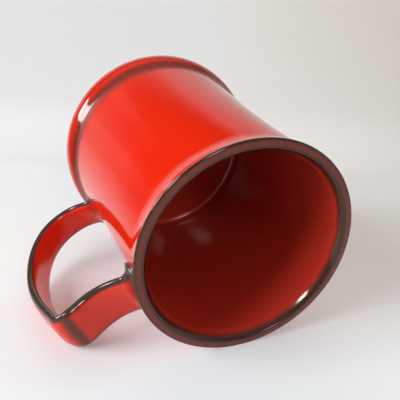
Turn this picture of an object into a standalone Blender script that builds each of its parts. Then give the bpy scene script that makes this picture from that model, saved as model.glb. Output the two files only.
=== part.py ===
"""Porcelain tankard mug with a strap handle, standing upright on its foot, in metres.

+Z runs along the mug's axis and out of the mouth, the handle points to +X, and the origin is the
middle of the whole outline's footprint on the table. The cup and the handle are cast apart and
joined with slip, so the two slip fillets at the joints are pieces of their own.
"""

import math

import bmesh
import bpy

# Overall sizes
RIM_R = 0.0393             # outside of the lip
HEIGHT = 0.1090
FOOT_R = 0.0469            # widest point of the foot flange
HANDLE_REACH = 0.0773      # from the mug's axis to the outermost point of the handle
JOINT_GAP = 0.0003         # slip line left between neighbouring pieces

# Outside of the cup wall, a shallow concave sweep through three radii
LOW_Z, LOW_R = 0.0135, 0.0440
MID_Z, MID_R = HEIGHT / 2, 0.0399
TOP_Z, TOP_R = HEIGHT - 0.0060, 0.0378
LIP_FLARE = 0.0100         # height over which the wall turns out to the lip
LIP_EDGE_DROP = 0.0006     # how far the lip's outer edge lies below its top
LIP_EDGE_ROUND = 0.0009
LIP_INNER_ROUND = 0.0007   # small round between the lip's flat land and the flare inside it
LIP_BELL_R = 0.0070        # radius of the flare inside the lip
LIP_BELL_TURN = math.radians(40)

# Foot
FOOT_BEAD_Z = 0.0050       # height of the flange's widest point
FOOT_BEAD_TOP_Z = 0.0126   # where the flange's curve would reach the wall
GROOVE_TURN = 58           # degrees of that curve before the groove's own round starts
GROOVE_TOP_Z = 0.0160      # where the groove's round joins the wall
FOOT_RING_OUT_R = 0.0432   # the ring that stands on the table
FOOT_RING_IN_R = 0.0385
RECESS_DEPTH = 0.0030
RECESS_SLOPE = 0.0020

# Inside of the cup
WALL = 0.0034
FLOOR_Z = 0.0095
FLOOR_ROUND = 0.0025
INNER_LOW_R = 0.0412       # inside radius where the wall meets the floor's rounded corner

# Strap handle: section sizes along its run, from the rim joint round to the foot joint
STRAP_THICK_ARM = 0.0047
STRAP_THICK_BEND = 0.0045
STRAP_WIDE_ARM = 0.0162
STRAP_WIDE_CORNER = 0.0172
STRAP_WIDE_BULGE = 0.0138
STRAP_WIDE_SWEEP = 0.0136
STRAP_WIDE_FOOT = 0.0126
STRAP_SQUARENESS_OUT = 2.2  # exponent of the section's outer half: 2 is an ellipse
STRAP_SQUARENESS_IN = 2.6
UPPER_JOINT_DROP = 0.0135  # strap's centre at the rim joint, below the lip's top
LOWER_JOINT_Z = 0.0272
THUMB_R = 0.0632           # centre of the strap at the thumb corner
THUMB_DROP = 0.0144
BULGE_PART = 0.55          # height of the handle's outermost point, as a part of the whole
SOLE_R = 0.0537            # lowest point of the strap's centre line
SOLE_DROP = 0.0042         # how far it lies below the foot joint

# Slip fillets
FILLET_UPPER = 0.0042
FILLET_LOWER = 0.0028
FILLET_UPPER_EDGE = 0.0010  # thickness at the fillet's edge on the wall
FILLET_LOWER_EDGE = 0.0006

# Mesh fineness
TURN_STEPS = 64
SECTION_STEPS = 24

LIP_FLARE_Z = HEIGHT - LIP_FLARE
LIP_EDGE_Z = HEIGHT - LIP_EDGE_DROP
UPPER_JOINT_Z = HEIGHT - UPPER_JOINT_DROP
THUMB_Z = HEIGHT - THUMB_DROP
BULGE_Z = HEIGHT * BULGE_PART
SOLE_Z = LOWER_JOINT_Z - SOLE_DROP
BEND_R = HANDLE_REACH - STRAP_THICK_BEND / 2
AXIS_X = -(HANDLE_REACH - FOOT_R) / 2


def clear_scene():
    for old in list(bpy.data.objects):
        bpy.data.objects.remove(old, do_unlink=True)


def glaze(name, colour, roughness):
    material = bpy.data.materials.new(name)
    material.use_nodes = True
    shader = material.node_tree.nodes["Principled BSDF"]
    shader.inputs["Base Color"].default_value = (*colour, 1.0)
    shader.inputs["Roughness"].default_value = roughness
    shader.inputs["Coat Weight"].default_value = 1.0
    return material


def add_object(name, mesh_builder, material, sharp_angle):
    bmesh.ops.recalc_face_normals(mesh_builder, faces=mesh_builder.faces)
    mesh = bpy.data.meshes.new(name)
    mesh_builder.to_mesh(mesh)
    mesh_builder.free()
    mesh.materials.append(material)
    made = bpy.data.objects.new(name, mesh)
    bpy.context.scene.collection.objects.link(made)
    mesh.shade_smooth()
    mesh.set_sharp_from_angle(angle=math.radians(sharp_angle))
    return made


# Cup wall and foot


def wall_radius(z):
    """Outside radius of the wall's plain sweep, the parabola through the three named radii."""
    low = LOW_R * (z - MID_Z) * (z - TOP_Z) / ((LOW_Z - MID_Z) * (LOW_Z - TOP_Z))
    mid = MID_R * (z - LOW_Z) * (z - TOP_Z) / ((MID_Z - LOW_Z) * (MID_Z - TOP_Z))
    top = TOP_R * (z - LOW_Z) * (z - MID_Z) / ((TOP_Z - LOW_Z) * (TOP_Z - MID_Z))
    return low + mid + top


def outside_radius(z):
    """Outside radius above the foot flange, with the turn out to the lip."""
    if z <= LIP_FLARE_Z:
        return wall_radius(z)
    part = (z - LIP_FLARE_Z) / (LIP_EDGE_Z - LIP_FLARE_Z)
    return wall_radius(z) + (RIM_R - wall_radius(LIP_EDGE_Z)) * part ** 2


def inside_radius(z):
    """Inside radius of the wall above the floor's rounded corner."""
    low_z = FLOOR_Z + FLOOR_ROUND
    wall = wall_radius(z) - WALL
    fade = max(0.0, 1 - (z - low_z) / (MID_Z - low_z))
    return wall + (INNER_LOW_R - (wall_radius(low_z) - WALL)) * fade ** 2


def arc_points(centre, radii, start, end, steps):
    """Points on an ellipse's arc, angles in degrees, without the first."""
    points = []
    for k in range(1, steps + 1):
        angle = math.radians(start + (end - start) * k / steps)
        points.append((centre[0] + radii[0] * math.cos(angle), centre[1] + radii[1] * math.sin(angle)))
    return points


def spaced(start, stop, steps):
    """Evenly spaced values from start to stop."""
    return [start + (stop - start) * k / steps for k in range(steps + 1)]


def bezier(corners, t):
    """Point of the cubic curve with these four corners."""
    a, b, c, d = (1 - t) ** 3, 3 * t * (1 - t) ** 2, 3 * t * t * (1 - t), t ** 3
    return tuple(a * p + b * q + c * r + d * s for p, q, r, s in zip(*corners))


def cup_profile():
    """Half section of the cup as (radius, height), from under the middle round to the floor inside."""
    points = [(0.0, RECESS_DEPTH), (FOOT_RING_IN_R - RECESS_SLOPE, RECESS_DEPTH)]
    points += arc_points(
        (FOOT_RING_IN_R - RECESS_SLOPE, 0.0), (RECESS_SLOPE, RECESS_DEPTH), 90, 0, 4
    )
    points.append((FOOT_RING_OUT_R, 0.0))
    points += arc_points(
        (FOOT_RING_OUT_R, FOOT_BEAD_Z), (FOOT_R - FOOT_RING_OUT_R, FOOT_BEAD_Z), -90, 0, 6
    )
    groove_r = wall_radius(FOOT_BEAD_TOP_Z)
    out, up = FOOT_R - groove_r, FOOT_BEAD_TOP_Z - FOOT_BEAD_Z
    points += arc_points((groove_r, FOOT_BEAD_Z), (out, up), 0, GROOVE_TURN, 6)
    turn = math.radians(GROOVE_TURN)
    top = (wall_radius(GROOVE_TOP_Z), GROOVE_TOP_Z)
    reach = 0.45 * math.dist(points[-1], top)
    slope = math.hypot(out * math.sin(turn), up * math.cos(turn)) / reach
    leave = (points[-1][0] - out * math.sin(turn) / slope, points[-1][1] + up * math.cos(turn) / slope)
    groove = (points[-1], leave, (wall_radius(GROOVE_TOP_Z - reach), GROOVE_TOP_Z - reach), top)
    points += [bezier(groove, k / 4) for k in range(1, 4)]
    points += [(outside_radius(z), z) for z in spaced(GROOVE_TOP_Z, LIP_FLARE_Z, 8)]
    points += [(outside_radius(z), z) for z in spaced(LIP_FLARE_Z, LIP_EDGE_Z, 5)[1:]]
    land_r = RIM_R - LIP_EDGE_ROUND
    points += arc_points((land_r, LIP_EDGE_Z), (LIP_EDGE_ROUND, HEIGHT - LIP_EDGE_Z), 0, 90, 4)
    bell_top_z = HEIGHT - LIP_INNER_ROUND * (1 - math.sin(LIP_BELL_TURN))
    bell_z = bell_top_z - LIP_BELL_R * math.sin(LIP_BELL_TURN)
    bell_r = inside_radius(bell_z)
    turn_r = bell_r + LIP_BELL_R * (1 - math.cos(LIP_BELL_TURN)) + LIP_INNER_ROUND * math.cos(LIP_BELL_TURN)
    points.append((turn_r, HEIGHT))
    stop = 180 - math.degrees(LIP_BELL_TURN)
    turn_z = HEIGHT - LIP_INNER_ROUND
    points += arc_points((turn_r, turn_z), (LIP_INNER_ROUND, LIP_INNER_ROUND), 90, stop, 2)
    points += arc_points((bell_r + LIP_BELL_R, bell_z), (LIP_BELL_R, LIP_BELL_R), stop, 180, 4)
    low_z = FLOOR_Z + FLOOR_ROUND
    points += [(inside_radius(z), z) for z in spaced(bell_z, low_z, 8)[1:]]
    points += arc_points(
        (INNER_LOW_R - FLOOR_ROUND, low_z), (FLOOR_ROUND, FLOOR_ROUND), 0, -90, 4
    )
    points.append((0.0, FLOOR_Z))
    return points


def lathe(profile, steps):
    """Closed solid of revolution about the mug's axis; profile ends on the axis at both ends."""
    mesh_builder = bmesh.new()
    rings = []
    for radius, height in profile:
        if radius == 0.0:
            rings.append([mesh_builder.verts.new((AXIS_X, 0.0, height))])
            continue
        ring = []
        for k in range(steps):
            turn = 2 * math.pi * k / steps
            ring.append(mesh_builder.verts.new(
                (AXIS_X + radius * math.cos(turn), radius * math.sin(turn), height)
            ))
        rings.append(ring)
    for low, high in zip(rings, rings[1:]):
        for k in range(steps):
            nxt = (k + 1) % steps
            if len(low) == 1:
                mesh_builder.faces.new((low[0], high[k], high[nxt]))
            elif len(high) == 1:
                mesh_builder.faces.new((low[k], low[nxt], high[0]))
            else:
                mesh_builder.faces.new((low[k], low[nxt], high[nxt], high[k]))
    return mesh_builder


def make_cup():
    material = glaze("body_glaze", (0.72, 0.016, 0.002), 0.06)
    return add_object("cup_body", lathe(cup_profile(), TURN_STEPS), material, 50)


# Handle


def strap_runs():
    """The centre line's five curves in the handle's plane, as (radius, height) corners and steps.

    The arm leaves the wall below the lip and dips, rises to the thumb corner, turns down over it,
    swells to the outermost point, sweeps in under the hand, and rises a little into the wall. The
    pull of each curve's two inner corners is a share of the span that the curve bridges."""
    upper = (outside_radius(UPPER_JOINT_Z), UPPER_JOINT_Z)
    lower = (outside_radius(LOWER_JOINT_Z), LOWER_JOINT_Z)
    thumb_in = (THUMB_R - 0.0042, THUMB_Z - 0.0016)
    thumb_out = (THUMB_R + 0.0050, THUMB_Z - 0.0056)
    bulge = (BEND_R, BULGE_Z)
    sole = (SOLE_R, SOLE_Z)
    arm = thumb_in[0] - upper[0]
    drop = thumb_out[1] - BULGE_Z
    under = BULGE_Z - SOLE_Z
    reach = BEND_R - SOLE_R
    tail = SOLE_R - lower[0]
    return [
        ((upper, (upper[0] + 0.29 * arm, upper[1] - 0.20 * arm),
          (thumb_in[0] - 0.38 * arm, thumb_in[1] - 0.15 * arm), thumb_in), 12),
        ((thumb_in, (THUMB_R - 0.0002, THUMB_Z - 0.0001), (THUMB_R + 0.0034, THUMB_Z + 0.0004),
          thumb_out), 9),
        ((thumb_out, (thumb_out[0] + 0.10 * drop, thumb_out[1] - 0.26 * drop),
          (BEND_R, BULGE_Z + 0.40 * drop), bulge), 10),
        ((bulge, (BEND_R, BULGE_Z - 0.51 * under), (SOLE_R + 0.72 * reach, SOLE_Z), sole), 16),
        ((sole, (SOLE_R - 0.37 * tail, SOLE_Z),
          (lower[0] + 0.37 * tail, lower[1] - 0.62 * SOLE_DROP), lower), 6),
    ]


def strap_line():
    """Centre points along the strap."""
    points = []
    for corners, steps in strap_runs():
        for k in range(steps):
            points.append(bezier(corners, k / steps))
    points.append(strap_runs()[-1][0][3])
    return points


def mix(values, part):
    """Value at part 0 to 1 along evenly spaced values, eased between them."""
    place = part * (len(values) - 1)
    k = min(int(place), len(values) - 2)
    t = place - k
    t = t * t * (3 - 2 * t)
    return values[k] + (values[k + 1] - values[k]) * t


def strap_section(part, grow):
    """Outline of the strap's section as (across, through), at this part of its run."""
    wide = mix(
        (STRAP_WIDE_ARM, STRAP_WIDE_CORNER, STRAP_WIDE_BULGE, STRAP_WIDE_SWEEP, STRAP_WIDE_FOOT), part
    )
    thick = mix((STRAP_THICK_ARM, STRAP_THICK_ARM, STRAP_THICK_BEND, STRAP_THICK_BEND), part)
    outline = []
    for k in range(SECTION_STEPS):
        turn = 2 * math.pi * k / SECTION_STEPS
        c, s = math.cos(turn), math.sin(turn)
        power = 2 / (STRAP_SQUARENESS_OUT if s > 0 else STRAP_SQUARENESS_IN)
        across = math.copysign(abs(c) ** power, c) * (wide / 2 + grow)
        through = math.copysign(abs(s) ** power, s) * (thick / 2 + grow)
        outline.append((across, through))
    return outline


def slide_to_wall(point, along, clearance):
    """Moves a point along the strap's direction until it lies this far outside the wall."""
    def outside(step):
        x = point[0] + along[0] * step
        z = point[2] + along[1] * step
        return math.hypot(x, point[1]) - (outside_radius(z) + clearance)

    far, near = -0.012, 0.012
    for _ in range(50):
        middle = (far + near) / 2
        if outside(middle) > 0:
            far = middle
        else:
            near = middle
    return (point[0] + along[0] * far, point[1], point[2] + along[1] * far)


def placed(centre, through_dir, outline):
    """Section outline stood up at a centre point, about the mug's own axis."""
    return [
        (centre[0] + through_dir[0] * t, across, centre[1] + through_dir[1] * t)
        for across, t in outline
    ]


def direction(a, b):
    length = math.hypot(b[0] - a[0], b[1] - a[1])
    return ((b[0] - a[0]) / length, (b[1] - a[1]) / length)


def loft(mesh_builder, loops, closed):
    """Skins a row of loops of points; a closed row joins the last loop to the first."""
    rows = [[mesh_builder.verts.new((AXIS_X + p[0], p[1], p[2])) for p in loop] for loop in loops]
    pairs = list(zip(rows, rows[1:]))
    if closed:
        pairs.append((rows[-1], rows[0]))
    for first, second in pairs:
        for k in range(len(first)):
            nxt = (k + 1) % len(first)
            mesh_builder.faces.new((first[k], first[nxt], second[nxt], second[k]))
    return rows


def cap_loops(centre, ring, along):
    """Loops that close a strap end and follow the round wall at the slip line's distance."""
    loops = []
    for scale in (0.7, 0.4):
        inner = [tuple(c + (p - c) * scale for p, c in zip(point, centre)) for point in ring]
        loops.append([slide_to_wall(point, along, JOINT_GAP) for point in inner])
    return loops


def make_handle():
    line = strap_line()
    count = len(line)
    start_along = direction(line[1], line[0])
    end_along = direction(line[-2], line[-1])
    loops = []
    for k, centre in enumerate(line):
        before = line[max(k - 1, 0)]
        after = line[min(k + 1, count - 1)]
        along = direction(before, after)
        through_dir = (-along[1], along[0])
        loops.append(placed(centre, through_dir, strap_section(k / (count - 1), 0.0)))
    loops[0] = [slide_to_wall(point, start_along, JOINT_GAP) for point in loops[0]]
    loops[-1] = [slide_to_wall(point, end_along, JOINT_GAP) for point in loops[-1]]
    start_centre = (line[0][0], 0.0, line[0][1])
    end_centre = (line[-1][0], 0.0, line[-1][1])
    before = cap_loops(start_centre, loops[0], start_along)
    after = cap_loops(end_centre, loops[-1], end_along)
    mesh_builder = bmesh.new()
    rows = loft(mesh_builder, before[::-1] + loops + after, False)
    for row, centre, along in ((rows[0], start_centre, start_along), (rows[-1], end_centre, end_along)):
        x, y, z = slide_to_wall(centre, along, JOINT_GAP)
        hub = mesh_builder.verts.new((AXIS_X + x, y, z))
        for k in range(len(row)):
            mesh_builder.faces.new((row[k], row[(k + 1) % len(row)], hub))
    material = glaze("handle_glaze", (0.72, 0.016, 0.002), 0.06)
    return add_object("handle", mesh_builder, material, 60)


# Slip fillets where the handle meets the wall


def fillet_loops(at_start, size, edge):
    """Loops of one fillet, each lying round the strap at its own distance out along the strap."""
    line = strap_line()
    if not at_start:
        line = line[::-1]
    part = 0.0 if at_start else 1.0

    def ring(grow, clearance):
        left, k = clearance, 0
        while left > math.dist(line[k], line[k + 1]):
            left -= math.dist(line[k], line[k + 1])
            k += 1
        along = direction(line[k + 1], line[k])
        centre = (line[k][0] - along[0] * left, line[k][1] - along[1] * left)
        through_dir = (along[1], -along[0]) if at_start else (-along[1], along[0])
        flat = placed(centre, through_dir, strap_section(part, grow))
        return [slide_to_wall(point, along, clearance) for point in flat]

    corner = ring(JOINT_GAP, JOINT_GAP)
    wall_edge = ring(JOINT_GAP + size, JOINT_GAP)
    wall_top = ring(JOINT_GAP + size, JOINT_GAP + edge)
    wall_mid = ring(JOINT_GAP + size / 2, JOINT_GAP)
    loops = [corner, wall_mid, wall_edge, wall_top]
    steps = 5
    for k in range(1, steps):
        angle = math.pi / 2 * k / steps
        out = size * (1 - math.sin(angle)) + edge
        rise = size * (1 - math.cos(angle)) + edge
        loops.append(ring(JOINT_GAP + out, JOINT_GAP + rise))
    loops.append(ring(JOINT_GAP + edge, JOINT_GAP + size))
    loops.append(ring(JOINT_GAP, JOINT_GAP + size))
    return loops


def make_fillet(name, at_start, size, edge):
    mesh_builder = bmesh.new()
    loft(mesh_builder, fillet_loops(at_start, size, edge), True)
    material = glaze(name + "_glaze", (0.30, 0.030, 0.016), 0.14)
    return add_object(name, mesh_builder, material, 50)


clear_scene()
make_cup()
make_handle()
make_fillet("slip_fillet_rim", True, FILLET_UPPER, FILLET_UPPER_EDGE)
make_fillet("slip_fillet_foot", False, FILLET_LOWER, FILLET_LOWER_EDGE)
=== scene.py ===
"""Looks of the red glazed tankard mug, in metres: a fine turned cup, a strap handle that grows out
of its wall, glaze that thins to brown on every edge, and the pale sweep that the mug lies on.

The mug stands upright in its own frame, its axis along +Z and its handle towards +X. In the
photograph it lies on its side, so the sweep, the lamps and the camera are turned round it."""

import math

import bpy
import numpy as np
from mathutils import Matrix, Vector


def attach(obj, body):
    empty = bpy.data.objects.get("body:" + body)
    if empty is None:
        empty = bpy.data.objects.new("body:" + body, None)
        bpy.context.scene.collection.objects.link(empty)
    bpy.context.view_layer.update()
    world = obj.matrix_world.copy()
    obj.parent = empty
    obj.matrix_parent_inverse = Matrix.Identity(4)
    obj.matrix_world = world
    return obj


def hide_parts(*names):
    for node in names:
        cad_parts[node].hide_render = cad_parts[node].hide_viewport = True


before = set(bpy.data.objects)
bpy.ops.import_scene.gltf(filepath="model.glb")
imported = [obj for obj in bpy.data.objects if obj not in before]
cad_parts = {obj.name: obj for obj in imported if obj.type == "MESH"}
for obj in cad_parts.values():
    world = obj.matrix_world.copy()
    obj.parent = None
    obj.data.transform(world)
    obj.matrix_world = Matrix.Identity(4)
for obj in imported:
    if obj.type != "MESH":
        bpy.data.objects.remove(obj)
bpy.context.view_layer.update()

# Overall sizes, as in the part's source
RIM_R = 0.0393             # outside of the lip
HEIGHT = 0.1090
FOOT_R = 0.0469            # widest point of the foot flange
HANDLE_REACH = 0.0773      # from the mug's axis to the outermost point of the handle

# Outside of the cup wall, a shallow concave sweep through three radii
LOW_Z, LOW_R = 0.0135, 0.0440
MID_Z, MID_R = HEIGHT / 2, 0.0399
TOP_Z, TOP_R = HEIGHT - 0.0060, 0.0378
LIP_FLARE = 0.0100         # height over which the wall turns out to the lip
LIP_EDGE_DROP = 0.0006     # how far the lip's outer edge lies below its top
LIP_EDGE_ROUND = 0.0009
LIP_INNER_ROUND = 0.0007   # small round between the lip's flat land and the flare inside it
LIP_BELL_R = 0.0070        # radius of the flare inside the lip
LIP_BELL_TURN = math.radians(40)

# Foot
FOOT_BEAD_Z = 0.0050       # height of the flange's widest point
FOOT_BEAD_TOP_Z = 0.0126   # where the flange's curve would reach the wall
GROOVE_TURN = 58           # degrees of that curve before the groove's own round starts
GROOVE_PULL = 0.45         # pull of the groove's inner corners, as a share of its span
GROOVE_MID_Z = 0.0140
GROOVE_TOP_Z = 0.0160      # where the groove's round joins the wall
FOOT_RING_OUT_R = 0.0432   # the ring that stands on the table
FOOT_RING_IN_R = 0.0385
RECESS_DEPTH = 0.0030
RECESS_SLOPE = 0.0020

# Inside of the cup
WALL = 0.0034
FLOOR_Z = 0.0095
FLOOR_ROUND = 0.0025
INNER_LOW_R = 0.0412       # inside radius where the wall meets the floor's rounded corner

# Strap handle: section sizes at even shares of its run, from the rim joint round to the foot joint
STRAP_THICK = (0.0047, 0.0047, 0.0045, 0.0045)
STRAP_WIDE = (0.0162, 0.0172, 0.0138, 0.0136, 0.0126)
STRAP_SQUARENESS_OUT = 2.2  # exponent of the section's outer half: 2 is an ellipse
STRAP_SQUARENESS_IN = 2.6
UPPER_JOINT_DROP = 0.0135  # strap's centre at the rim joint, below the lip's top
LOWER_JOINT_Z = 0.0272
THUMB_R = 0.0632           # centre of the strap at the thumb corner
THUMB_DROP = 0.0144
BULGE_PART = 0.55          # height of the handle's outermost point, as a part of the whole
SOLE_R = 0.0537            # lowest point of the strap's centre line
SOLE_DROP = 0.0042         # how far it lies below the foot joint

# Slip at each joint, the rim's first: how far it climbs the wall, how far it runs out along the
# strap, and how thick its edge on the wall is
FLARE = ((0.0042, 0.0034, 0.0013), (0.0024, 0.0030, 0.0003))
BLEND_RUN = 0.0080         # over this length a section turns from the wall's curve to flat
END_GROW = 0.0004          # how much wider the strap's hidden end rings are
SINK = 0.00025             # how far they reach into the wall's glaze
SLIDE_MOST = 0.014         # furthest that a point may slide along the strap to meet the wall
SLIDE_HALVINGS = 40

# Fineness of the visual meshes
TURN_STEPS = 224
LAND_STEPS = 4             # across the lip's flat land
SECTION_STEPS = 56
RUN_FINENESS = 5           # sections for each step of the strap's runs

LIP_FLARE_Z = HEIGHT - LIP_FLARE
LIP_EDGE_Z = HEIGHT - LIP_EDGE_DROP
UPPER_JOINT_Z = HEIGHT - UPPER_JOINT_DROP
THUMB_Z = HEIGHT - THUMB_DROP
BULGE_Z = HEIGHT * BULGE_PART
SOLE_Z = LOWER_JOINT_Z - SOLE_DROP
BEND_R = HANDLE_REACH - STRAP_THICK[-1] / 2
AXIS_X = -(HANDLE_REACH - FOOT_R) / 2

# Where the glaze thins on the cup, and where the groove above the flange is darker: how much, from 0 to
# 1, and over what distance
LIP_THIN = 0.90            # on the flare inside the lip
LIP_THIN_FROM = 0.0004     # depth below the top at which it starts to fade
LIP_THIN_FADE = 0.0036
LIP_THIN_CURVE = 1.2
EDGE_THIN_R = RIM_R - 0.0002
EDGE_THIN_Z = HEIGHT - 0.0004
EDGE_THIN_REACH = 0.0014   # round the lip's outer edge
LAND_THIN = 0.50           # on the lip's flat land
LAND_DEPTH = 0.0006
FLANGE_THIN = 0.30
FLANGE_THIN_Z = FOOT_BEAD_Z + 0.0010
FLANGE_THIN_REACH = 0.0105
# The groove above the flange is darker, by the same measure as thin glaze
GROOVE_DARKER = 0.50
GROOVE_DARKER_BELOW = 0.0062
GROOVE_DARKER_ABOVE = 0.0120

# The wiped, bare foot ring
BARE_DEPTH = 0.0006
BARE_MARGIN_IN = 0.0006
BARE_MARGIN_OUT = 0.0014

# Where the glaze is dull, 1 being as dull as the strap's joints
GROOVE_DULL = 2.2
GROOVE_DULL_Z = GROOVE_MID_Z + 0.0024
GROOVE_DULL_REACH = 0.0038
FACE_DULL = 0.5            # on the strap's broad faces
JOINT_DULL_REACH = 0.0065

# Where the glaze thins on the strap
SIDE_THIN_FROM = 0.68      # share of the half width at which a side edge starts to thin
SIDE_THIN_OVER = 0.31
JOINT_THIN_RIM = 0.55
JOINT_THIN_FOOT = 0.35
JOINT_THIN_AT = 0.0010     # distance from the strap's end
JOINT_THIN_REACH = 0.0034
THUMB_THIN = 0.55
THUMB_STEP = 15.2          # place of the thumb ridge, in steps of the strap's runs
THUMB_THIN_BEFORE = 0.044  # shares of the strap's whole run
THUMB_THIN_AFTER = 0.062
THUMB_THIN_ROUND = 2.0     # how fast it comes in from the strap's sides to its outer face


# Turned cup


def wall_radius(z):
    """Outside radius of the wall's plain sweep, the parabola through the three named radii."""
    low = LOW_R * (z - MID_Z) * (z - TOP_Z) / ((LOW_Z - MID_Z) * (LOW_Z - TOP_Z))
    mid = MID_R * (z - LOW_Z) * (z - TOP_Z) / ((MID_Z - LOW_Z) * (MID_Z - TOP_Z))
    top = TOP_R * (z - LOW_Z) * (z - MID_Z) / ((TOP_Z - LOW_Z) * (TOP_Z - MID_Z))
    return low + mid + top


def outside_radius(z):
    """Outside radius above the foot flange, with the turn out to the lip."""
    if z <= LIP_FLARE_Z:
        return wall_radius(z)
    part = (z - LIP_FLARE_Z) / (LIP_EDGE_Z - LIP_FLARE_Z)
    return wall_radius(z) + (RIM_R - wall_radius(LIP_EDGE_Z)) * part ** 2


def inside_radius(z):
    """Inside radius of the wall above the floor's rounded corner."""
    low_z = FLOOR_Z + FLOOR_ROUND
    wall = wall_radius(z) - WALL
    fade = max(0.0, 1 - (z - low_z) / (MID_Z - low_z))
    return wall + (INNER_LOW_R - (wall_radius(low_z) - WALL)) * fade ** 2


def arc_points(centre, radii, start, end, steps):
    """Points on an ellipse's arc, angles in degrees, without the first."""
    turns = [math.radians(start + (end - start) * k / steps) for k in range(1, steps + 1)]
    return [(centre[0] + radii[0] * math.cos(a), centre[1] + radii[1] * math.sin(a)) for a in turns]


def spaced(start, stop, steps):
    """Evenly spaced values from start to stop."""
    return [start + (stop - start) * k / steps for k in range(steps + 1)]


def bezier(corners, t):
    """Point of the cubic curve with these four corners."""
    a, b, c, d = (1 - t) ** 3, 3 * t * (1 - t) ** 2, 3 * t * t * (1 - t), t ** 3
    return tuple(a * p + b * q + c * r + d * s for p, q, r, s in zip(*corners))


def ease(t):
    """0 to 1, eased at both ends."""
    return t * t * (3 - 2 * t)


def bump_at(value, centre, half_width):
    """1 at the centre, falling smoothly to 0 at the half width."""
    away = min(abs(value - centre) / half_width, 1.0)
    return (1 - away * away) ** 2


def foot_points():
    """The cup's section from under the middle round the foot ring and the flange to the groove."""
    recess_r = FOOT_RING_IN_R - RECESS_SLOPE
    bead_out = FOOT_R - FOOT_RING_OUT_R
    points = [(radius, RECESS_DEPTH) for radius in spaced(0.0, recess_r, steps=6)]
    points += arc_points((recess_r, 0.0), (RECESS_SLOPE, RECESS_DEPTH), start=90, end=0, steps=8)
    points += [(radius, 0.0) for radius in spaced(FOOT_RING_IN_R, FOOT_RING_OUT_R, steps=4)[1:]]
    points += arc_points(
        (FOOT_RING_OUT_R, FOOT_BEAD_Z), (bead_out, FOOT_BEAD_Z), start=-90, end=0, steps=14
    )
    groove_r = wall_radius(FOOT_BEAD_TOP_Z)
    out, up = FOOT_R - groove_r, FOOT_BEAD_TOP_Z - FOOT_BEAD_Z
    points += arc_points((groove_r, FOOT_BEAD_Z), (out, up), start=0, end=GROOVE_TURN, steps=14)
    turn = math.radians(GROOVE_TURN)
    out, up = out * math.sin(turn), up * math.cos(turn)
    top = (wall_radius(GROOVE_TOP_Z), GROOVE_TOP_Z)
    reach = GROOVE_PULL * math.dist(points[-1], top)
    slope = math.hypot(out, up) / reach
    leave = (points[-1][0] - out / slope, points[-1][1] + up / slope)
    groove = (points[-1], leave, (wall_radius(GROOVE_TOP_Z - reach), GROOVE_TOP_Z - reach), top)
    return points + [bezier(groove, t) for t in spaced(0.0, 1.0, steps=10)[1:-1]]


def cup_profile():
    """Half section of the cup as (radius, height), from under the middle round to the floor inside."""
    points = foot_points()
    points += [(outside_radius(z), z) for z in spaced(GROOVE_TOP_Z, LIP_FLARE_Z, steps=28)]
    points += [(outside_radius(z), z) for z in spaced(LIP_FLARE_Z, LIP_EDGE_Z, steps=12)[1:]]
    land_r = RIM_R - LIP_EDGE_ROUND
    points += arc_points(
        (land_r, LIP_EDGE_Z), (LIP_EDGE_ROUND, HEIGHT - LIP_EDGE_Z), start=0, end=90, steps=9
    )
    bell_top_z = HEIGHT - LIP_INNER_ROUND * (1 - math.sin(LIP_BELL_TURN))
    bell_z = bell_top_z - LIP_BELL_R * math.sin(LIP_BELL_TURN)
    bell_r = inside_radius(bell_z)
    turn_r = bell_r + LIP_BELL_R * (1 - math.cos(LIP_BELL_TURN))
    turn_r += LIP_INNER_ROUND * math.cos(LIP_BELL_TURN)
    turn_z = HEIGHT - LIP_INNER_ROUND
    stop = 180 - math.degrees(LIP_BELL_TURN)
    points += [(radius, HEIGHT) for radius in spaced(land_r, turn_r, LAND_STEPS)[1:]]
    points += arc_points(
        (turn_r, turn_z), (LIP_INNER_ROUND, LIP_INNER_ROUND), start=90, end=stop, steps=5
    )
    points += arc_points(
        (bell_r + LIP_BELL_R, bell_z), (LIP_BELL_R, LIP_BELL_R), start=stop, end=180, steps=14
    )
    low_z = FLOOR_Z + FLOOR_ROUND
    floor_r = INNER_LOW_R - FLOOR_ROUND
    points += [(inside_radius(z), z) for z in spaced(bell_z, low_z, steps=26)[1:]]
    points += arc_points((floor_r, low_z), (FLOOR_ROUND, FLOOR_ROUND), start=0, end=-90, steps=12)
    return points + [(radius, FLOOR_Z) for radius in spaced(floor_r, 0.0, steps=8)[1:]]


def cup_darkening(radius, z, inside):
    """How dark the glaze is at a point of the cup's section, 0 to 1: where it thins, and in the groove
    above the flange.
    """
    deep = HEIGHT - z
    if inside:
        faded = max(deep - LIP_THIN_FROM, 0.0) / LIP_THIN_FADE
        return LIP_THIN * max(0.0, 1 - faded) ** LIP_THIN_CURVE
    if deep > LIP_FLARE:
        flange = FLANGE_THIN * bump_at(z, FLANGE_THIN_Z, FLANGE_THIN_REACH)
        reach = GROOVE_DARKER_BELOW if z < GROOVE_MID_Z else GROOVE_DARKER_ABOVE
        return max(flange, GROOVE_DARKER * bump_at(z, GROOVE_MID_Z, reach))
    edge = bump_at(math.hypot(radius - EDGE_THIN_R, z - EDGE_THIN_Z), 0.0, EDGE_THIN_REACH)
    return max(edge, LAND_THIN if deep < LAND_DEPTH else 0.0)


def cup_biscuit(radius, z):
    """1 on the wiped foot ring that the kiln shelf touches."""
    in_ring = FOOT_RING_IN_R - BARE_MARGIN_IN < radius < FOOT_RING_OUT_R + BARE_MARGIN_OUT
    return 1.0 if in_ring and z <= BARE_DEPTH else 0.0


def mesh_from(name, places, quads, values):
    """Mesh object of these points and faces, smooth, with named point values for its material."""
    mesh = bpy.data.meshes.new(name)
    mesh.from_pydata(places, [], quads)
    mesh.validate()
    for key, numbers in values.items():
        mesh.attributes.new(key, "FLOAT", "POINT").data.foreach_set("value", numbers)
    mesh.shade_smooth()
    made = bpy.data.objects.new(name, mesh)
    bpy.context.scene.collection.objects.link(made)
    return made


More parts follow.
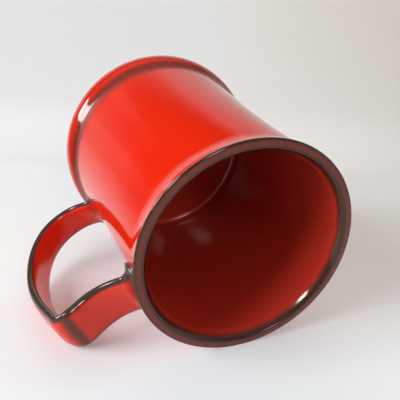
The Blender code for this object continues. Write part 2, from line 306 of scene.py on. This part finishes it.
def make_cup():
    """The turned cup, with how dark and how dull its glaze is, and its bare ring, kept on its points.
    """
    profile = cup_profile()
    lip_at = profile.index(max(profile, key=lambda point: point[1]))
    places, quads, rings = [], [], []
    values = {"darkening": [], "biscuit": [], "inside": [], "dull": []}
    for n, (radius, z) in enumerate(profile):
        inside = n >= lip_at + LAND_STEPS
        count = 1 if radius == 0.0 else TURN_STEPS
        rings.append(range(len(places), len(places) + count))
        for k in range(count):
            turn = 2 * math.pi * k / TURN_STEPS
            places.append((AXIS_X + radius * math.cos(turn), radius * math.sin(turn), z))
        dull = 0.0 if inside else GROOVE_DULL * bump_at(z, GROOVE_DULL_Z, GROOVE_DULL_REACH)
        values["darkening"] += [cup_darkening(radius, z, inside)] * count
        values["biscuit"] += [cup_biscuit(radius, z)] * count
        values["inside"] += [float(inside)] * count
        values["dull"] += [dull] * count
    for low, high in zip(rings, rings[1:]):
        for k in range(TURN_STEPS):
            nxt = (k + 1) % TURN_STEPS
            if len(low) == 1:
                quads.append((high[nxt], high[k], low[0]))
            elif len(high) == 1:
                quads.append((high[0], low[k], low[nxt]))
            else:
                quads.append((high[nxt], high[k], low[k], low[nxt]))
    return mesh_from("glazed_cup", places, quads, values)


# Strap handle with its luted joints


def strap_runs():
    """The centre line's five curves in the handle's plane, as (radius, height) corners and steps.

    The arm leaves the wall below the lip and dips, rises to the thumb corner, turns down over it,
    swells to the outermost point, sweeps in under the hand, and rises a little into the wall. The
    pull of each curve's two inner corners is a share of the span that the curve bridges."""
    upper = (outside_radius(UPPER_JOINT_Z), UPPER_JOINT_Z)
    lower = (outside_radius(LOWER_JOINT_Z), LOWER_JOINT_Z)
    thumb_in = (THUMB_R - 0.0042, THUMB_Z - 0.0016)
    thumb_out = (THUMB_R + 0.0050, THUMB_Z - 0.0056)
    bulge = (BEND_R, BULGE_Z)
    sole = (SOLE_R, SOLE_Z)
    arm = thumb_in[0] - upper[0]
    drop = thumb_out[1] - BULGE_Z
    under = BULGE_Z - SOLE_Z
    reach = BEND_R - SOLE_R
    tail = SOLE_R - lower[0]
    return [
        ((upper, (upper[0] + 0.29 * arm, upper[1] - 0.20 * arm),
          (thumb_in[0] - 0.38 * arm, thumb_in[1] - 0.15 * arm), thumb_in), 12),
        ((thumb_in, (THUMB_R - 0.0002, THUMB_Z - 0.0001), (THUMB_R + 0.0034, THUMB_Z + 0.0004),
          thumb_out), 9),
        ((thumb_out, (thumb_out[0] + 0.10 * drop, thumb_out[1] - 0.26 * drop),
          (BEND_R, BULGE_Z + 0.40 * drop), bulge), 10),
        ((bulge, (BEND_R, BULGE_Z - 0.51 * under), (SOLE_R + 0.72 * reach, SOLE_Z), sole), 16),
        ((sole, (SOLE_R - 0.37 * tail, SOLE_Z),
          (lower[0] + 0.37 * tail, lower[1] - 0.62 * SOLE_DROP), lower), 6),
    ]


def mix(values, part):
    """Value at part 0 to 1 along evenly spaced values, eased between them."""
    place = part * (len(values) - 1)
    k = min(int(place), len(values) - 2)
    return values[k] + (values[k + 1] - values[k]) * ease(place - k)


def slide_to_wall(x, y, z, along, clearance):
    """Moves a point along the strap's direction until it lies this far outside the wall."""
    far, near = -SLIDE_MOST, SLIDE_MOST
    for _ in range(SLIDE_HALVINGS):
        middle = (far + near) / 2
        px, pz = x + along[0] * middle, z + along[1] * middle
        if math.hypot(px, y) - (outside_radius(pz) + clearance) > 0:
            far = middle
        else:
            near = middle
    return x + along[0] * far, y, z + along[1] * far


def strap_line():
    """Dense centre points, each with its share of the run and its distance along it."""
    runs = strap_runs()
    total = sum(steps for _, steps in runs)
    places, parts = [], []
    done = 0
    for corners, steps in runs:
        fine = steps * RUN_FINENESS
        for k in range(fine):
            places.append(bezier(corners, k / fine))
            parts.append((done + k / RUN_FINENESS) / total)
        done += steps
    places.append(runs[-1][0][3])
    parts.append(1.0)
    places = np.array(places)
    steps = np.hypot(*np.diff(places, axis=0).T)
    distances = np.concatenate([[0.0], np.cumsum(steps)])
    return places, parts, distances, THUMB_STEP / total


def strap_ring(places, part, k, from_end, at_start, extra):
    """One ring round the strap. Near a joint it flares out and bends to the wall's own curve."""
    before, after = max(k - 1, 0), min(k + 1, len(places) - 1)
    along = places[after] - places[before]
    along = along / np.hypot(*along)
    through = (-along[1], along[0])
    up_wall, out_strap, edge = FLARE[0 if at_start else 1]
    past_edge = max(from_end - edge, 0.0)
    lean = min(max((out_strap - past_edge) / out_strap, 0.0), 1.0)
    grow = up_wall * (1 - math.sqrt(max(1 - lean ** 2, 0.0))) + extra
    wide = mix(STRAP_WIDE, part) / 2 + grow
    thick = mix(STRAP_THICK, part) / 2 + grow
    follow = ease(max(0.0, 1 - from_end / BLEND_RUN))
    toward = (-along[0], -along[1]) if at_start else (along[0], along[1])
    clearance = from_end * abs(toward[0]) - (SINK if extra else 0.0)
    ring = []
    for j in range(SECTION_STEPS):
        turn = 2 * math.pi * j / SECTION_STEPS
        c, s = math.cos(turn), math.sin(turn)
        power = 2 / (STRAP_SQUARENESS_OUT if s > 0 else STRAP_SQUARENESS_IN)
        across = math.copysign(abs(c) ** power, c) * wide
        lift = math.copysign(abs(s) ** power, s) * thick
        point = (places[k][0] + through[0] * lift, across, places[k][1] + through[1] * lift)
        if follow > 0:
            bent = slide_to_wall(*point, toward, clearance)
            point = tuple(p + (q - p) * follow for p, q in zip(point, bent))
        ring.append(point)
    return ring


def strap_glaze(part, thumb, from_end, at_start, turn):
    """How far the glaze has thinned at a point round the strap, and how dull it is there."""
    side = min(max((abs(math.cos(turn)) - SIDE_THIN_FROM) / SIDE_THIN_OVER, 0.0), 1.0)
    side = ease(side)
    joint = bump_at(from_end, JOINT_THIN_AT, JOINT_THIN_REACH)
    joint *= JOINT_THIN_RIM if at_start else JOINT_THIN_FOOT
    ridge = bump_at(part, thumb, THUMB_THIN_BEFORE if part < thumb else THUMB_THIN_AFTER)
    on_outer_face = min(max(math.sin(turn), 0.0) * THUMB_THIN_ROUND, 1.0)
    darkening = max(side, THUMB_THIN * ridge * on_outer_face, joint)
    dull = max(FACE_DULL * (1 - side), bump_at(from_end, 0.0, JOINT_DULL_REACH))
    return darkening, dull


def make_handle():
    """The strap with its joints, one closed skin of rings, its ends hidden in the wall's glaze."""
    places, parts, distances, thumb = strap_line()
    count = len(places)
    marks = [(0, END_GROW)] + [(k, 0.0) for k in range(count)] + [(count - 1, END_GROW)]
    points, quads = [], []
    values = {"darkening": [], "dull": []}
    for k, extra in marks:
        at_start = k < count / 2
        from_end = distances[k] if at_start else distances[-1] - distances[k]
        ring = strap_ring(places, parts[k], k, from_end, at_start, extra)
        points += [(AXIS_X + x, y, z) for x, y, z in ring]
        for j in range(SECTION_STEPS):
            turn = 2 * math.pi * j / SECTION_STEPS
            darkening, dull = strap_glaze(parts[k], thumb, from_end, at_start, turn)
            values["darkening"].append(darkening)
            values["dull"].append(dull)
    last = (len(marks) - 1) * SECTION_STEPS
    for start in range(0, last, SECTION_STEPS):
        for j in range(SECTION_STEPS):
            a, nxt = start + j, start + (j + 1) % SECTION_STEPS
            quads.append((a, nxt, nxt + SECTION_STEPS, a + SECTION_STEPS))
    quads.append(tuple(range(SECTION_STEPS - 1, -1, -1)))
    quads.append(tuple(range(last, last + SECTION_STEPS)))
    return mesh_from("glazed_strap", points, quads, values)


# Material nodes


def new_material(name):
    """A fresh material with its node tree and its shader."""
    material = bpy.data.materials.new(name)
    material.use_nodes = True
    tree = material.node_tree
    return material, tree, tree.nodes["Principled BSDF"]


def noise(tree, coordinates, scale, detail):
    made = tree.nodes.new("ShaderNodeTexNoise")
    made.inputs["Scale"].default_value = scale
    made.inputs["Detail"].default_value = detail
    tree.links.new(coordinates, made.inputs["Vector"])
    return made.outputs["Fac"]


def attribute(tree, name):
    """Value kept on the mesh's points under this name, 0 where the mesh has none."""
    made = tree.nodes.new("ShaderNodeAttribute")
    made.attribute_name = name
    return made.outputs["Fac"]


def fill(tree, socket, value):
    """Links a socket to another socket, or sets it to a plain value."""
    if isinstance(value, bpy.types.NodeSocket):
        tree.links.new(value, socket)
    else:
        socket.default_value = value


def maths(tree, operation, *values):
    made = tree.nodes.new("ShaderNodeMath")
    made.operation = operation
    for socket, value in zip(made.inputs, values):
        fill(tree, socket, value)
    return made.outputs[0]


def vector_maths(tree, operation, first, second):
    made = tree.nodes.new("ShaderNodeVectorMath")
    made.operation = operation
    tree.links.new(first, made.inputs[0])
    made.inputs[1].default_value = second
    return made.outputs["Value"]


def along(tree, vector, direction):
    """How far a vector reaches along a direction."""
    return vector_maths(tree, "DOT_PRODUCT", vector, direction)


def spread(tree, value, ends, results=(0.0, 1.0)):
    """Smooth step from the first result to the second as the value goes between the two ends."""
    made = tree.nodes.new("ShaderNodeMapRange")
    made.interpolation_type = "SMOOTHSTEP"
    names = ("From Min", "From Max", "To Min", "To Max")
    for name, number in zip(names, (*ends, *results)):
        made.inputs[name].default_value = number
    tree.links.new(value, made.inputs["Value"])
    return made.outputs["Result"]


def blend_colour(tree, factor, first, second):
    """The first colour where the factor is 0 and the second at 1, each plain or linked."""
    made = tree.nodes.new("ShaderNodeMix")
    made.data_type = "RGBA"
    tree.links.new(factor, made.inputs[0])
    for socket, value in ((made.inputs[6], first), (made.inputs[7], second)):
        fill(tree, socket, value if isinstance(value, bpy.types.NodeSocket) else (*value, 1.0))
    return made.outputs[2]


def blend_shader(tree, factor, first, second):
    """The first shader where the factor is 0 and the second at 1."""
    made = tree.nodes.new("ShaderNodeMixShader")
    for socket, output in zip(made.inputs, (factor, first, second)):
        tree.links.new(output, socket)
    return made.outputs[0]


# Glaze

RED = (0.680, 0.017, 0.002)
RED_DEEP = (0.645, 0.015, 0.002)
# Inside the cup the red is darker, a painted shade of the hollow, with more green and blue, a painted
# haze
INSIDE_RED_PAINTED_SHADE_AND_HAZE = (0.51, 0.034, 0.017)
STRAP_RED = (0.67, 0.022, 0.009)
STRAP_DEEP = (0.63, 0.020, 0.008)
MAROON = (0.115, 0.018, 0.012)
BROWN = (0.042, 0.012, 0.007)
STRAP_BROWN = (0.046, 0.030, 0.022)
BISCUIT = (0.60, 0.50, 0.41)
BISCUIT_DEEP = (0.50, 0.40, 0.32)

# Noise sizes, in features to the metre: cloudy pooling, fine unevenness and the skin's wobble
CLOUD_SCALE = 38.0
FINE_SCALE = 420.0
WOBBLE_SCALE = 1500.0
UNEVEN = 0.16              # how much the fine noise shifts the thinning, from least to most

# Darkening at which the colour has begun and finished turning
TO_MAROON = (0.10, 0.62)
TO_BROWN = (0.38, 0.88)

# Noise between which a blend runs
POOLING = (0.35, 0.70)
MIDDLE = (0.3, 0.7)

GLAZE_ROUGH = (0.045, 0.075)  # from clear to cloudy
INSIDE_ROUGH = 0.06        # added inside the cup
DULL_ROUGH = 0.22          # added where the dullness is 1
BISCUIT_ROUGH = 0.75
GLAZE_IOR = 1.52
GLAZE_SHINE = (1.0, 0.93, 0.82)
BUMP_STRENGTH = 0.12
BUMP_HEIGHT = 0.0004
WOBBLE_SHARE = 0.01        # height of the wobble, as a share of the pooling's


def glaze(name, red, red_deep, brown):
    """Red glaze that turns maroon and then brown where the mesh's darkening says: where the glaze is
    thin, and in the cup's groove; inside the cup it is a darker red, a painted shade with a painted
    haze.
    """
    material, tree, shader = new_material(name)
    place = tree.nodes.new("ShaderNodeTexCoord").outputs["Object"]
    cloud = noise(tree, place, CLOUD_SCALE, 2.0)
    fine = noise(tree, place, FINE_SCALE, 3.0)
    wobble = noise(tree, place, WOBBLE_SCALE, 2.0)
    inside = attribute(tree, "inside")
    biscuit = attribute(tree, "biscuit")

    colour = blend_colour(tree, spread(tree, cloud, POOLING), red, red_deep)
    # Painted shade and haze inside the cup
    colour = blend_colour(tree, inside, colour, INSIDE_RED_PAINTED_SHADE_AND_HAZE)
    uneven = maths(tree, "MULTIPLY_ADD", fine, UNEVEN, -UNEVEN / 2)
    darkening = maths(tree, "ADD", attribute(tree, "darkening"), uneven)
    colour = blend_colour(tree, spread(tree, darkening, TO_MAROON), colour, MAROON)
    colour = blend_colour(tree, spread(tree, darkening, TO_BROWN), colour, brown)
    bare = blend_colour(tree, spread(tree, fine, MIDDLE), BISCUIT, BISCUIT_DEEP)
    tree.links.new(blend_colour(tree, biscuit, colour, bare), shader.inputs["Base Color"])

    rough = spread(tree, cloud, MIDDLE, GLAZE_ROUGH)
    rough = maths(tree, "MULTIPLY_ADD", inside, INSIDE_ROUGH, rough)
    rough = maths(tree, "MULTIPLY_ADD", attribute(tree, "dull"), DULL_ROUGH, rough)
    rough = maths(tree, "MAXIMUM", rough, maths(tree, "MULTIPLY", biscuit, BISCUIT_ROUGH))
    tree.links.new(rough, shader.inputs["Roughness"])
    shader.inputs["IOR"].default_value = GLAZE_IOR
    shader.inputs["Specular Tint"].default_value = (*GLAZE_SHINE, 1.0)

    bump = tree.nodes.new("ShaderNodeBump")
    bump.inputs["Strength"].default_value = BUMP_STRENGTH
    bump.inputs["Distance"].default_value = BUMP_HEIGHT
    height = maths(tree, "MULTIPLY_ADD", wobble, WOBBLE_SHARE, cloud)
    tree.links.new(height, bump.inputs["Height"])
    tree.links.new(bump.outputs["Normal"], shader.inputs["Normal"])
    return material


# Stage: the camera, and the floor that it looks down on

CAMERA_PLACE = Vector((0.00549, -0.10019, 0.21993))
CAMERA_AHEAD = Vector((-0.10390, 0.54134, -0.83436)).normalized()
CAMERA_DOWN = CAMERA_AHEAD.cross(Vector((-0.84896, 0.38876, 0.35795))).normalized()
CAMERA_RIGHT = CAMERA_DOWN.cross(CAMERA_AHEAD)
CAMERA_LENS = 40.985       # millimetres, on a 36 mm sensor
FLOOR_UP = Vector((-0.48563, -0.87072, -0.07751)).normalized()
FLOOR_LEVEL = -0.03982     # along FLOOR_UP, from the mug's own origin
BACK = (CAMERA_AHEAD - FLOOR_UP * CAMERA_AHEAD.dot(FLOOR_UP)).normalized()
RIGHT = BACK.cross(FLOOR_UP).normalized()
UNDER_CAMERA = CAMERA_PLACE - FLOOR_UP * (CAMERA_PLACE.dot(FLOOR_UP) - FLOOR_LEVEL)


def on_stage(right, back, up):
    """Point given by its distances from the spot on the floor under the camera."""
    return UNDER_CAMERA + RIGHT * right + BACK * back + FLOOR_UP * up


# Sweep of paper, whose floor bends up into a wall behind the mug
WALL_AWAY = 0.40           # from under the camera to the wall
BEND = 0.045               # radius of the bend
BEND_STEPS = 16
FLOOR_BREAKS = (-1.2, -0.3)  # the floor's front edge and a break in it, from under the camera
WALL_BREAKS = (0.10, 0.27)   # a break in the wall and its top edge
HALF_WIDE = 1.4
PAPER_ROUGH = 0.6
PAPER_SHINE = 0.3
# The paper is a little cyan, so that under the painted glow's warm colours lit paper looks neutral and
# its shadows warm
PAPER = (0.705, 0.750, 0.745)
PAPER_CLOUD = (0.725, 0.770, 0.765)
PAPER_CLOUD_SCALE = 6.0

# Painted light and shade on the paper, as tints of its colour: painted shade towards the right, painted
# light at the front, painted shade near and on the wall, and painted shade up and to the right; for
# each, the measure that it follows, where on it it begins and is full, and its colour
PAINTED_LIGHT_AND_SHADE = (
    ("aside", (0.0, 0.11), (0.64, 0.690, 0.675)),
    ("behind", (-0.18, -0.27), (0.760, 0.865, 0.880)),
    ("behind", (-0.085, -0.012), (0.620, 0.650, 0.630)),
    ("aside_and_up", (0.08, 0.36), (0.45, 0.45, 0.41)),
)

# The paper's painted glow, seen only by the camera and in reflections, which keeps shadows soft: its
# colour on the left and right of the mug, warm on the right as a painted bounce from the mug, and in
# the strap's loop, where less of it shows and its red is the mug's painted bounce on the floor
PAINTED_GLOW = 0.29           # share of the paper's brightness that shadows don't touch
PAINTED_GLOW_LOOP = 0.13
PAINTED_GLOW_LEFT = (1.0, 0.90, 0.92)
PAINTED_WARM_BOUNCE = (1.0, 0.82, 0.76)
PAINTED_RED_BOUNCE = (0.97, 0.48, 0.42)
PAINTED_GLOW_TURN = (0.0, 0.06)
LOOP_SPOT = on_stage(-0.048, 0.141, 0.0)
LOOP_EDGE = (0.012, 0.042)

# Where the paper fades into the room: as it goes up, more so to the right, past the left of the
# picture, and, for the camera alone, far off
FADE_UP = (0.05, 0.28)
FADE_UP_SHARE = 0.50
FADE_TOP = (0.175, 0.25)
FADE_TILT = 1.2            # height that a step to the right counts for
FADE_TILT_SIDES = (-0.10, 0.05)
FADE_LEFT = (-0.215, -0.415)
FADE_LEFT_FRONT = -0.19    # in front of this the left edge runs straight to the front
FADE_LEFT_UP = 0.12        # above this height it leans inwards
FADE_LEFT_LEAN = 1.2
FADE_FAR = (0.40, 0.85)


def stage_measures(tree, place):
    """Where a point is: right of the camera, behind the wall, up, and its distance from the loop."""
    aside = maths(tree, "SUBTRACT", along(tree, place, RIGHT), UNDER_CAMERA.dot(RIGHT))
    height = maths(tree, "SUBTRACT", along(tree, place, FLOOR_UP), FLOOR_LEVEL)
    return {
        "aside": aside,
        "behind": maths(tree, "SUBTRACT", along(tree, place, BACK), UNDER_CAMERA.dot(BACK) + WALL_AWAY),
        "height": height,
        "aside_and_up": maths(tree, "ADD", aside, height),
        "from_loop": vector_maths(tree, "DISTANCE", place, LOOP_SPOT),
    }


def sweep_fade(tree, at, camera_ray):
    """How far the paper has faded into the room, 0 to 1, and 1 wherever it is seen from behind."""
    least, most = FADE_TILT_SIDES
    tilted = maths(tree, "MINIMUM", maths(tree, "MAXIMUM", at["aside"], least), most)
    tilted = maths(tree, "MULTIPLY_ADD", tilted, FADE_TILT, at["height"])
    high = maths(tree, "MULTIPLY", spread(tree, tilted, FADE_UP), FADE_UP_SHARE)
    top = spread(tree, at["height"], FADE_TOP)
    above = maths(tree, "MAXIMUM", maths(tree, "SUBTRACT", at["height"], FADE_LEFT_UP), 0.0)
    lean = maths(tree, "MULTIPLY", above, FADE_LEFT_LEAN)
    across = maths(tree, "ADD", at["aside"], maths(tree, "MAXIMUM", at["behind"], FADE_LEFT_FRONT))
    left = spread(tree, maths(tree, "SUBTRACT", across, lean), FADE_LEFT)
    far_off = maths(tree, "MULTIPLY", spread(tree, at["from_loop"], FADE_FAR), camera_ray)
    gone = tree.nodes.new("ShaderNodeNewGeometry").outputs["Backfacing"]
    for share in (high, top, left, far_off):
        gone = maths(tree, "MAXIMUM", gone, share)
    return gone


def sweep_material():
    """Pale paper seen only from its front. Part of its brightness is a painted glow, seen only by the
    camera and in reflections, so that shadows on it stay soft; it is warm right of the mug and red in
    the strap's loop as a painted bounce, and the paper's colour carries painted light and shade. Up the
    wall and past the left of the picture it fades into the dim room."""
    material, tree, shader = new_material("sweep_paper")
    place = tree.nodes.new("ShaderNodeTexCoord").outputs["Object"]
    path = tree.nodes.new("ShaderNodeLightPath")
    at = stage_measures(tree, place)

    paper = blend_colour(tree, noise(tree, place, PAPER_CLOUD_SCALE, 2.0), PAPER, PAPER_CLOUD)
    # Painted light and shade on the paper's colour
    for measure, ends, painted_tone in PAINTED_LIGHT_AND_SHADE:
        paper = blend_colour(tree, spread(tree, at[measure], ends), paper, painted_tone)
    tree.links.new(paper, shader.inputs["Base Color"])
    shader.inputs["Roughness"].default_value = PAPER_ROUGH
    shader.inputs["Specular IOR Level"].default_value = PAPER_SHINE

    # Painted glow, warm right of the mug and red in the strap's loop as a painted bounce from the mug
    own = tree.nodes.new("ShaderNodeEmission")
    colour = blend_colour(tree, spread(tree, at["aside"], PAINTED_GLOW_TURN), PAINTED_GLOW_LEFT, PAINTED_WARM_BOUNCE)
    colour = blend_colour(tree, spread(tree, at["from_loop"], LOOP_EDGE), PAINTED_RED_BOUNCE, colour)
    tree.links.new(colour, own.inputs["Color"])
    own.inputs["Strength"].default_value = 1.0
    seen = maths(tree, "MAXIMUM", path.outputs["Is Camera Ray"], path.outputs["Is Glossy Ray"])
    seen = maths(tree, "MAXIMUM", seen, path.outputs["Is Transmission Ray"])
    share = spread(tree, at["from_loop"], LOOP_EDGE, (PAINTED_GLOW_LOOP, PAINTED_GLOW))
    share = maths(tree, "MULTIPLY", seen, share)
    lit = blend_shader(tree, share, shader.outputs[0], own.outputs[0])

    clear = tree.nodes.new("ShaderNodeBsdfTransparent")
    gone = sweep_fade(tree, at, path.outputs["Is Camera Ray"])
    surface = blend_shader(tree, gone, lit, clear.outputs[0])
    tree.links.new(surface, tree.nodes["Material Output"].inputs["Surface"])
    return material


def make_sweep():
    """The sweep of paper: a floor, a round bend and a low wall."""
    section = [(back, 0.0) for back in (*FLOOR_BREAKS, WALL_AWAY - BEND)]
    for k in range(1, BEND_STEPS + 1):
        turn = math.pi / 2 * k / BEND_STEPS
        section.append((WALL_AWAY - BEND + BEND * math.sin(turn), BEND - BEND * math.cos(turn)))
    section += [(WALL_AWAY, up) for up in WALL_BREAKS]
    places, quads = [], []
    for back, up in section:
        places += [tuple(on_stage(side, back, up)) for side in (-HALF_WIDE, HALF_WIDE)]
    for k in range(0, len(places) - 2, 2):
        quads.append((k, k + 1, k + 3, k + 2))
    sweep = mesh_from("sweep", places, quads, {})
    sweep.data.materials.append(sweep_material())


# Lamps, each a soft rectangle that faces the mug: its heading, turned from the back wall towards
# the right, and its rise above the floor, then its width and height as seen from the mug, all in
# degrees, its brightness, its colour, and the rays that pass it by
LAMP_AWAY = 2.0
LAMPS = (
    ("left_wash", -115, 27, (37, 28), 12.6, (0.97, 0.99, 1.04), "glossy"),
    ("left_window", -85, 21, (27, 15), 15.0, (0.98, 0.99, 1.03), "diffuse"),
    ("front_window", 157, 27, (10, 12), 13.0, (1.0, 1.0, 1.0), ""),
    ("left_spark", -130, 38, (18, 12), 26.0, (1.0, 1.0, 1.0), "diffuse"),
    ("high_wash", 8, 62, (50, 50), 0.68, (1.0, 0.97, 0.94), "glossy"),
)


def make_lamp(name, heading, rise, spans, brightness, colour, unseen_by):
    """One lamp of the list, whose power grows with its area so that it stays as bright to look at."""
    turn, lift = math.radians(heading), math.radians(rise)
    away = RIGHT * (math.cos(lift) * math.sin(turn)) + BACK * (math.cos(lift) * math.cos(turn))
    away += FLOOR_UP * math.sin(lift)
    side = FLOOR_UP.cross(away).normalized()
    light = bpy.data.lights.new(name, "AREA")
    light.shape = "RECTANGLE"
    light.size, light.size_y = (2 * LAMP_AWAY * math.tan(math.radians(span / 2)) for span in spans)
    light.energy = brightness * math.pi * light.size * light.size_y
    light.color = colour
    made = bpy.data.objects.new(name, light)
    bpy.context.scene.collection.objects.link(made)
    made.location = Vector((0, 0, HEIGHT / 2)) + away * LAMP_AWAY
    made.rotation_mode = "QUATERNION"
    made.rotation_quaternion = Matrix((side, away.cross(side), away)).transposed().to_quaternion()
    made.visible_glossy = unseen_by != "glossy"
    made.visible_diffuse = unseen_by != "diffuse"


# Room: its own light grows towards one side, with a brighter front and ceiling, where white is 1
ROOM = (1.0, 0.975, 0.94)
ROOM_BRIGHT_SIDE = RIGHT * 0.70 + BACK * 0.20 - FLOOR_UP * 0.60
ROOM_LEVEL = 0.16          # at right angles to its bright side
ROOM_LEAST = 0.03
ROOM_MOST = 0.85
FRONT_SIDE = (FLOOR_UP * 0.42 - BACK * 0.80 - RIGHT * 0.42).normalized()
FRONT_EDGE = (0.05, 0.75)
FRONT_FILL = 0.28          # brightness of the room in front of the mug's mouth
CEILING_EDGE = (0.62, 0.77)
CEILING = 0.36

# What the camera sees past the sweep: paler on the left, and darker on the right as a painted falloff
# of the light
VIEW_LEFT = (1.0, 0.98, 0.90)
VIEW_RIGHT_PAINTED_SHADE = (0.67, 0.625, 0.56)
VIEW_TURN = (-0.35, 0.40)


def make_world():
    """Dim room whose light falls off away from the pale sweep, and pale to the camera, with painted
    shade towards the right.
    """
    world = bpy.data.worlds.new("room")
    bpy.context.scene.world = world
    world.use_nodes = True
    tree = world.node_tree
    heading = tree.nodes.new("ShaderNodeTexCoord").outputs["Generated"]
    path = tree.nodes.new("ShaderNodeLightPath")

    toward = along(tree, heading, ROOM_BRIGHT_SIDE)
    level = maths(tree, "MAXIMUM", maths(tree, "ADD", toward, ROOM_LEVEL), ROOM_LEAST)
    level = maths(tree, "MINIMUM", level, ROOM_MOST)
    front = spread(tree, along(tree, heading, FRONT_SIDE), FRONT_EDGE, (0.0, FRONT_FILL))
    overhead = spread(tree, along(tree, heading, FLOOR_UP), CEILING_EDGE, (0.0, CEILING))
    level = maths(tree, "MAXIMUM", level, maths(tree, "MAXIMUM", front, overhead))
    plain = tree.nodes["Background"]
    tree.links.new(blend_colour(tree, level, (0.0, 0.0, 0.0), ROOM), plain.inputs["Color"])
    plain.inputs["Strength"].default_value = 1.0

    pale = tree.nodes.new("ShaderNodeBackground")
    sideways = spread(tree, along(tree, heading, RIGHT), VIEW_TURN)
    tree.links.new(blend_colour(tree, sideways, VIEW_LEFT, VIEW_RIGHT_PAINTED_SHADE), pale.inputs["Color"])
    pale.inputs["Strength"].default_value = 1.0
    shown = blend_shader(tree, path.outputs["Is Camera Ray"], plain.outputs[0], pale.outputs[0])
    tree.links.new(shown, tree.nodes["World Output"].inputs["Surface"])


def make_camera():
    """Camera at the photograph's place and angle."""
    data = bpy.data.cameras.new("camera")
    data.sensor_width = 36.0
    data.lens = CAMERA_LENS
    data.clip_start, data.clip_end = 0.01, 20.0
    made = bpy.data.objects.new("camera", data)
    bpy.context.scene.collection.objects.link(made)
    turn = Matrix((CAMERA_RIGHT, -CAMERA_DOWN, -CAMERA_AHEAD)).transposed()
    made.location = CAMERA_PLACE
    made.rotation_mode = "QUATERNION"
    made.rotation_quaternion = turn.to_quaternion()
    bpy.context.scene.camera = made


make_camera()
bpy.context.scene.view_settings.view_transform = "Standard"
make_sweep()
make_world()
for lamp in LAMPS:
    make_lamp(*lamp)

cup = make_cup()
cup.data.materials.append(glaze("cup_glaze", RED, RED_DEEP, BROWN))
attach(cup, "root")
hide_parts("cup_body")

strap = make_handle()
strap.data.materials.append(glaze("strap_glaze", STRAP_RED, STRAP_DEEP, STRAP_BROWN))
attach(strap, "root")
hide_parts("handle", "slip_fillet_rim", "slip_fillet_foot")
